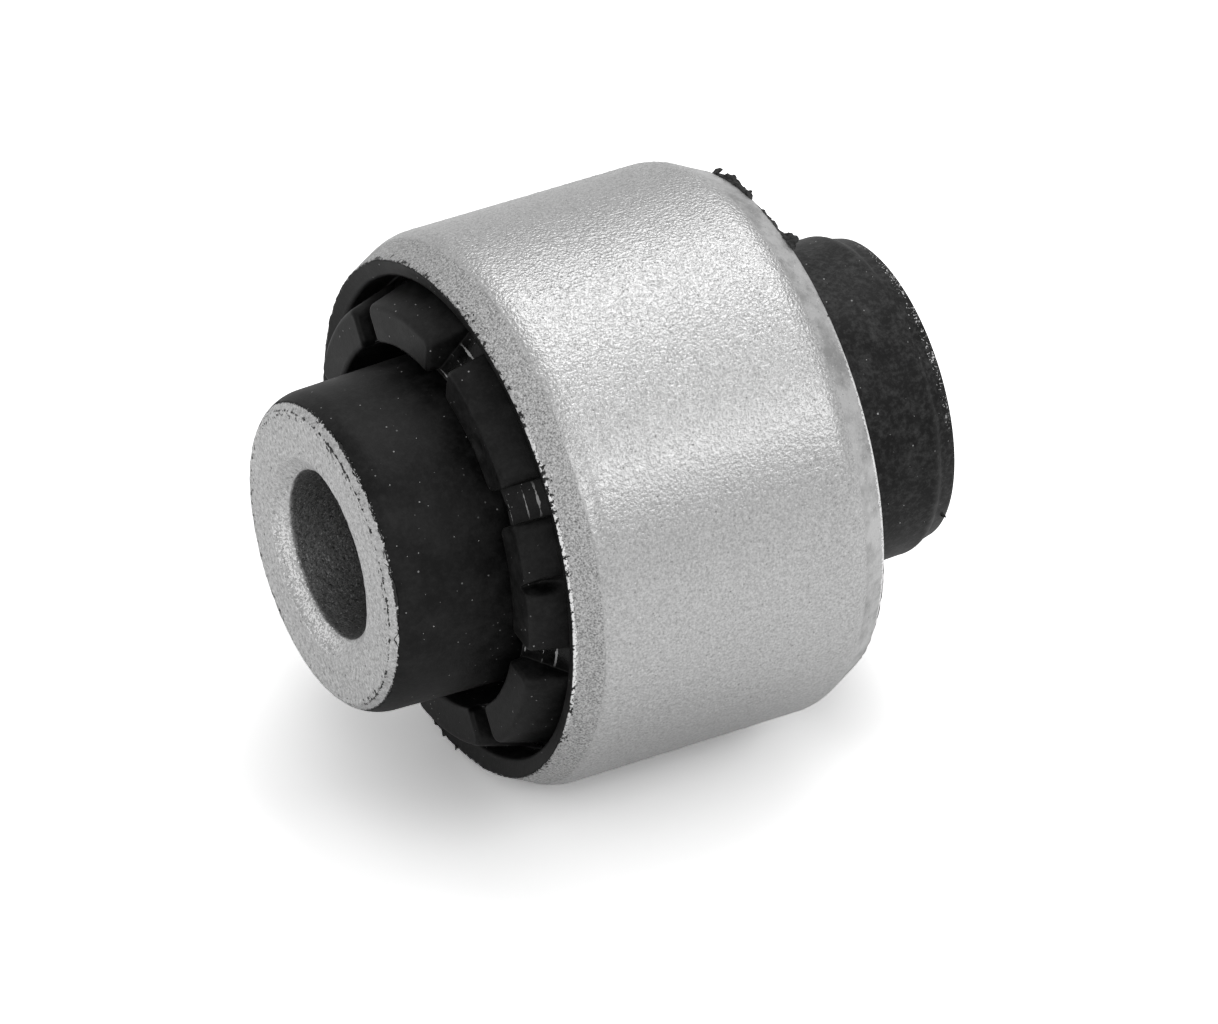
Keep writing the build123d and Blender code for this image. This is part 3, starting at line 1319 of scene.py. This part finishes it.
    def _rim_edge(self, wander: np.ndarray, columns: np.ndarray) -> np.ndarray:
        """Ragged edge of the upper coat: past the rim's corner it bends over the chamfer.

        Args:
            wander: How far the edge reaches past the corner at each column.
            columns: Angles of the columns.

        Returns:
            One point for each column.
        """
        radius = self.inner_radius - np.clip(wander, 0, None) + self.rim_cover
        return around(radius, columns, self.inner_end - self.rim_chamfer + wander)

    def _mouth_edge(self, wander: np.ndarray, columns: np.ndarray) -> np.ndarray:
        """Ragged edge at the outer sleeve's mouth: outwards over the chamfer or back down the bevel.

        Args:
            wander: How far the edge reaches past the mouth at each column.
            columns: Angles of the columns.

        Returns:
            One point for each column.
        """
        over, down = self.over_chamfer, self.down_bevel
        radius = self.mouth + np.where(wander > 0, over[0] * wander, down[0] * wander)
        rise = np.where(wander > 0, self.mouth_cover + over[1] * wander, down[1] * wander)
        return around(radius, columns, self.outer_end + rise)

    def build(self) -> bpy.types.Object:
        """Builds the moulding as one closed mesh.

        Returns:
            The moulding.
        """
        skin = Patchwork("rubber_moulding")
        upper_rim, upper_mouth = self.add_end(skin, self.upper_coat(), upper=True)
        lower_rim, lower_mouth = self.add_end(skin, self.lower_coat(), upper=False)
        columns = self.upper.columns(self.centres)
        rim = self.inner_end - self.rim_chamfer
        bevel = self.outer_end - (self.mouth - self.sleeve_bore)
        for top, bottom, radius, heights in (
            (upper_rim, lower_rim, self.inner_radius, (self.bond_top * rim, -rim)),
            (upper_mouth, lower_mouth, self.sleeve_bore, (bevel, -bevel)),
        ):
            bond = revolved(np.array([(radius, height) for height in heights]), columns)
            skin.add(np.stack([top, *bond, bottom]))
        return skin.build()


@dataclass
class TornFlash:
    """A ragged strip of rubber squeezed out along an edge and torn off."""

    name: str
    start: float
    stop: float
    root: tuple[float, float]
    lean: float
    thickness: float
    lumps: tuple[tuple[float, float, float], ...]
    seed: int
    lower: bool = True
    sections: int = 90
    round: int = 24
    sink: float = 0.12
    bluntness: int = 5
    thin_share: float = 0.7
    thick_share: float = 0.5
    coarse: float = 0.5
    fine: float = 0.22
    fine_share: float = 0.6
    rough: float = 0.045
    rough_height: float = 0.5

    def build(self) -> bpy.types.Object:
        """Sweeps a flattened ring along the edge and closes it to a point at both ends.

        The strip's height at a share t of its length is a sum of bells, each with its own place, height and
        width: height exp(-((t - place) / width)^2). Each ring is an ellipse that stands on the edge, leans
        outwards and shrinks to nothing at the ends.

        Returns:
            The strip.
        """
        share = np.linspace(0, 1, self.sections)[:, None]
        turn = np.arange(self.round) * math.tau / self.round
        tall = sum(height * np.exp(-(((share - spot) / width) ** 2)) for spot, height, width in self.lumps)
        close = np.sqrt(np.clip(1 - np.abs(2 * share - 1) ** self.bluntness, 0, 1))
        along = close * (tall / 2 * (1 - np.cos(turn)) - self.sink * np.cos(turn / 2) ** 2)
        thick = self.thickness * (self.thin_share + self.thick_share * np.sqrt(tall / tall.max()))
        across = close * thick / 2 * np.sin(turn)
        lean = math.radians(self.lean)
        points = around(
            self.root[0] + along * math.sin(lean) + across * math.cos(lean),
            np.radians(self.start + share * (self.stop - self.start)),
            self.root[1] + along * math.cos(lean) - across * math.sin(lean),
        )
        coarse, fine = (
            np.stack([waves(points, length, seed + axis) for axis in range(3)], -1)
            for length, seed in ((self.coarse, self.seed), (self.fine, self.seed + 3))
        )
        rough = self.rough * close * np.minimum(1, tall / self.rough_height)
        points = points + (coarse + self.fine_share * fine) * rough[..., None]
        if self.lower:
            points[..., 2] *= -1
        skin = Patchwork(self.name)
        skin.add(points)
        return skin.build()


def torn_pieces() -> list[TornFlash]:
    """The strips torn off at the lower mouth, the burr on the lower rim and the burr at the upper mouth.

    Returns:
        The strips.
    """
    lower_mouth = (18.62, 12.12)
    return [
        TornFlash(
            "torn_flash_long", start=-15.8, stop=-36.4, root=lower_mouth, lean=16, thickness=0.5, seed=61,
            lumps=(
                (0.04, 1.15, 0.022), (0.1, 0.5, 0.1), (0.36, 0.8, 0.15), (0.58, 0.4, 0.1),
                (0.78, 0.55, 0.12),
            ),
        ),
        TornFlash(
            "torn_flash_short", start=-38.0, stop=-54.0, root=lower_mouth, lean=16, thickness=0.42, seed=71,
            lumps=((0.06, 0.3, 0.08), (0.35, 0.3, 0.25), (0.76, 0.98, 0.14)),
        ),
        TornFlash(
            "rim_burr", start=-149.5, stop=-150.9, root=(11.06, 21.85), lean=70, thickness=0.16, seed=81,
            lumps=((0.5, 0.42, 0.3),), sections=24, sink=0.05,
        ),
        TornFlash(
            "mouth_burr", start=136.0, stop=149.5, root=(18.74, 12.2), lean=62, thickness=0.16, seed=91,
            lumps=((0.15, 0.16, 0.05), (0.44, 0.24, 0.05), (0.62, 0.08, 0.1), (0.87, 0.26, 0.04)),
            lower=False, sink=0.06,
        ),
    ]


@dataclass(frozen=True)
class Lamp:
    """A square soft lamp that faces the bush.

    Its way runs along the camera's right, up and back, its distance and side are in metres, and its
    brightness is that of its surface, where one is white.
    """

    name: str
    way: tuple[float, float, float]
    distance: float
    side: float
    brightness: float

    def build(self, axes: np.ndarray) -> None:
        """Adds the lamp.

        Args:
            axes: The camera's right, up and back directions, as rows.
        """
        data = bpy.data.lights.new(self.name, "AREA")
        data.shape = "SQUARE"
        data.size = self.side
        data.energy = self.brightness * math.pi * self.side * self.side
        lamp = linked(self.name, data)
        towards = axes.T @ (np.array(self.way) / np.linalg.norm(self.way))
        lamp.location = Vector((towards * self.distance).tolist())
        lamp.rotation_mode = "QUATERNION"
        lamp.rotation_quaternion = Vector(towards.tolist()).to_track_quat("Z", "Y")


@dataclass
class Studio:
    """Camera, lamps and a pale ground under the bush as it lies in the photograph."""

    image_width: float = 1218.0
    focal_pixels: float = 11878.0
    sensor: float = 36.0
    distance: float = 824.0
    aside: float = 20.167
    above: float = 3.205
    end: float = 22.25
    ground_reach: float = 20.12
    ground_turn: float = -36.0
    paper: str = "#d2d2d2"
    paper_side: float = 3.0
    paper_cells: int = 8
    clip: tuple[float, float] = (0.02, 50.0)
    right: tuple[float, float, float] = (-0.279, -0.383, -0.881)
    up: tuple[float, float, float] = (0.961, -0.082, -0.268)
    lamps: tuple[Lamp, ...] = (
        Lamp("overhead_softbox", (0.22, 0.96, 0.16), 0.5, 0.34, 1.72),
        Lamp("right_softbox", (0.72, 0.3, 0.62), 0.7, 0.3, 1.6),
        Lamp("front_softbox", (0.05, 0.02, 1.0), 1.0, 0.3, 2.5),
    )

    def axes(self) -> np.ndarray:
        """Right, up and back directions of the camera, as rows at right angles to each other."""
        right = np.array(self.right) / np.linalg.norm(self.right)
        up = np.array(self.up) - right * (right @ np.array(self.up))
        up /= np.linalg.norm(up)
        return np.array([right, up, np.cross(right, up)])

    def camera(self) -> None:
        """Places the camera at the photograph's viewing angle."""
        axes = self.axes()
        data = bpy.data.cameras.new("photo_camera")
        data.sensor_width = self.sensor
        data.lens = self.focal_pixels / self.image_width * self.sensor
        data.clip_start, data.clip_end = self.clip
        camera = linked("photo_camera", data)
        spot = np.array([0, 0, self.end]) + axes.T @ np.array([self.aside, self.above, self.distance])
        turn = Matrix(axes.T.tolist()).to_4x4()
        camera.matrix_world = Matrix.Translation(Vector((spot * MM).tolist())) @ turn
        bpy.context.scene.camera = camera

    def seen_or_mirrored(self, add: AddNode, mirrored: float) -> Socket:
        """One where a camera ray arrives, a share where a mirrored or passing one does, and otherwise zero.

        A ray that was scattered on its way is plain light, so the ground isn't lit by its own white.

        Args:
            add: Adds a node to a material or to the surroundings.
            mirrored: Value for a ray that comes by way of a glossy or a clear surface.

        Returns:
            The value.
        """
        path = add("LightPath")
        direct = add("Math", (path["Diffuse Depth"], 0.5), operation="LESS_THAN")[0]
        bent = add("Math", (path["Is Glossy Ray"], path["Is Transmission Ray"]), operation="MAXIMUM")[0]
        for share in (direct, mirrored):
            bent = add("Math", (bent, share), operation="MULTIPLY")[0]
        return add("Math", (path["Is Camera Ray"], bent), operation="MAXIMUM")[0]

    def world(self, ambient: float, mirrored: float) -> None:
        """Even white surroundings: full white where they are seen, softer where mirrored and as light.

        Args:
            ambient: Strength of the surroundings as diffuse light.
            mirrored: How far their mirror image lies from that strength towards full white.
        """
        world = bpy.data.worlds.new("studio")
        bpy.context.scene.world = world
        add = fresh_nodes(world)
        strength = add("MapRange", (self.seen_or_mirrored(add, mirrored), 0.0, 1.0, ambient, 1.0))[0]
        add("OutputWorld", {"Surface": add("Background", {"Color": "#ffffff", "Strength": strength})[0]})

    def ground(self, whiteness: float, mirrored: float) -> None:
        """A pale ground plane that touches the side of the outer sleeve and keeps its shadow.

        It is clear from underneath, so that it hides nothing from other sides.

        Args:
            whiteness: Brightness of the ground where it is seen, like an overexposed backdrop.
            mirrored: How much of that extra brightness its mirror image keeps.
        """
        turn = math.radians(self.ground_turn)
        normal = np.array([math.cos(turn), math.sin(turn), 0])
        sideways = np.array([-math.sin(turn), math.cos(turn), 0])
        share = np.linspace(-self.paper_side / 2, self.paper_side / 2, self.paper_cells + 1)
        across, along = np.meshgrid(share, share, indexing="ij")
        points = -normal * self.ground_reach * MM + across[..., None] * sideways
        points = points + along[..., None] * np.array([0, 0, 1])
        quads = grid_quads(*across.shape, close_rows=False, close_columns=False)
        mesh = bpy.data.meshes.new("ground")
        mesh.from_pydata(points.reshape(-1, 3).tolist(), [], quads.tolist())
        mesh.update()
        if Vector(mesh.polygons[0].normal).dot(Vector(normal.tolist())) < 0:
            mesh.flip_normals()
        floor = linked("ground", mesh)
        material = bpy.data.materials.new("white_paper")
        add = fresh_nodes(material)
        white = add("Mix", {
            0: self.seen_or_mirrored(add, mirrored), 6: self.paper, 7: (*[whiteness] * 3, 1.0),
        }, data_type="RGBA")[2]
        camera = add("LightPath")["Is Camera Ray"]
        under = add("Math", (camera, add("NewGeometry")["Backfacing"]), operation="MULTIPLY")[0]
        paper, clear = add("BsdfDiffuse", {"Color": white})[0], add("BsdfTransparent")[0]
        add("OutputMaterial", {"Surface": add("MixShader", (under, paper, clear))[0]})
        mesh.materials.append(material)

    def build(self) -> None:
        """Sets up the camera, the lamps, the surroundings and the ground."""
        self.camera()
        self.world(ambient=0.55, mirrored=0.2)
        self.ground(whiteness=2.0, mirrored=0.26)
        for lamp in self.lamps:
            lamp.build(self.axes())


def finishes() -> dict[Finish, bpy.types.Material]:
    """Builds each finish once.

    Returns:
        The materials by finish.
    """
    outer = Steel(
        Finish.OUTER_STEEL, light="#d9d9d9", dark="#b4b4b4", zone_light="#d4d4d4", zone_dark="#8a8a8a",
        roughness=0.33, zone_roughness=0.6, pebble=0.2, pebble_depth=0.11, grain=0.12, grain_depth=0.014,
        # The mouth-edge ring paints highlights on its lit side, partly bare worn steel
        residue=(Ring(18.72, 0.55, 0.55),), worn=(Ring(18.8, 0.16, 1.1),),
        glint_ring_side=Side(-110.0, 14.0, 17.0), end_height=11.2, rubbed_share=0.6,
    )
    inner = Steel(
        # The zone colours paint the bore darker: painted shade inside the bore
        Finish.INNER_STEEL, light="#dedede", dark="#b0b0b0", zone_light="#adadad", zone_dark="#7c7c7c",
        roughness=0.46, zone_roughness=0.5, pebble=0.3, pebble_depth=0.04, grain=0.12, grain_depth=0.018,
        residue=(Ring(10.62, 0.2, 0.6), Ring(10.3, 0.5, 0.3), Ring(11.1, 0.16, 0.9)),
        # The rings on the bore chamfer paint sparkling highlights on its lit side
        worn=(Ring(6.6, 1.5, 0.62), Ring(7.3, 0.1, 0.6)),
        glint_ring_side=Side(111.0, 2.5, 5.5), end_height=21.3, glint_limit=0.66,
    )
    rubber = Rubber(
        Finish.RUBBER, dark="#070707", light="#1d1d1d", roughness=0.5, zone_roughness=0.22, sheen=0.21,
    )
    torn = Rubber(
        Finish.TORN_RUBBER, dark="#161616", light="#2a2a2a", roughness=0.55, zone_roughness=0.3, sheen=0.3,
        grain=0.2, grain_depth=0.05,
    )
    return {f.kind: f.material() for f in (outer, inner, rubber, torn)}


def main() -> None:
    """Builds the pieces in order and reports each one."""
    logging.basicConfig(level=logging.INFO, format="%(name)s: %(message)s", stream=sys.stdout)
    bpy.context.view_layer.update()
    outer_high, inner_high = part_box("outer_sleeve")[1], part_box("inner_sleeve")[1]
    materials = finishes()
    outer = OuterSleeve(radius=outer_high.y / MM, end=outer_high.z / MM)
    inner = InnerSleeve(radius=inner_high.y / MM, end=inner_high.z / MM)
    rubber = RubberBody(
        inner_radius=inner.radius, inner_end=inner.end, outer_end=outer.end, sleeve_bore=outer.bore,
        mouth=outer.mouth,
    )
    place(outer.build(), materials[Finish.OUTER_STEEL], "outer_steel", "outer_sleeve")
    place(inner.build(), materials[Finish.INNER_STEEL], "inner_steel", "inner_sleeve")
    place(rubber.build(), materials[Finish.RUBBER], "rubber", "rubber_body")
    for strip in torn_pieces():
        place(strip.build(), materials[Finish.TORN_RUBBER], "rubber")
    Studio().build()
    bpy.context.scene.view_settings.view_transform = "Standard"


if __name__ == "__main__":
    main()
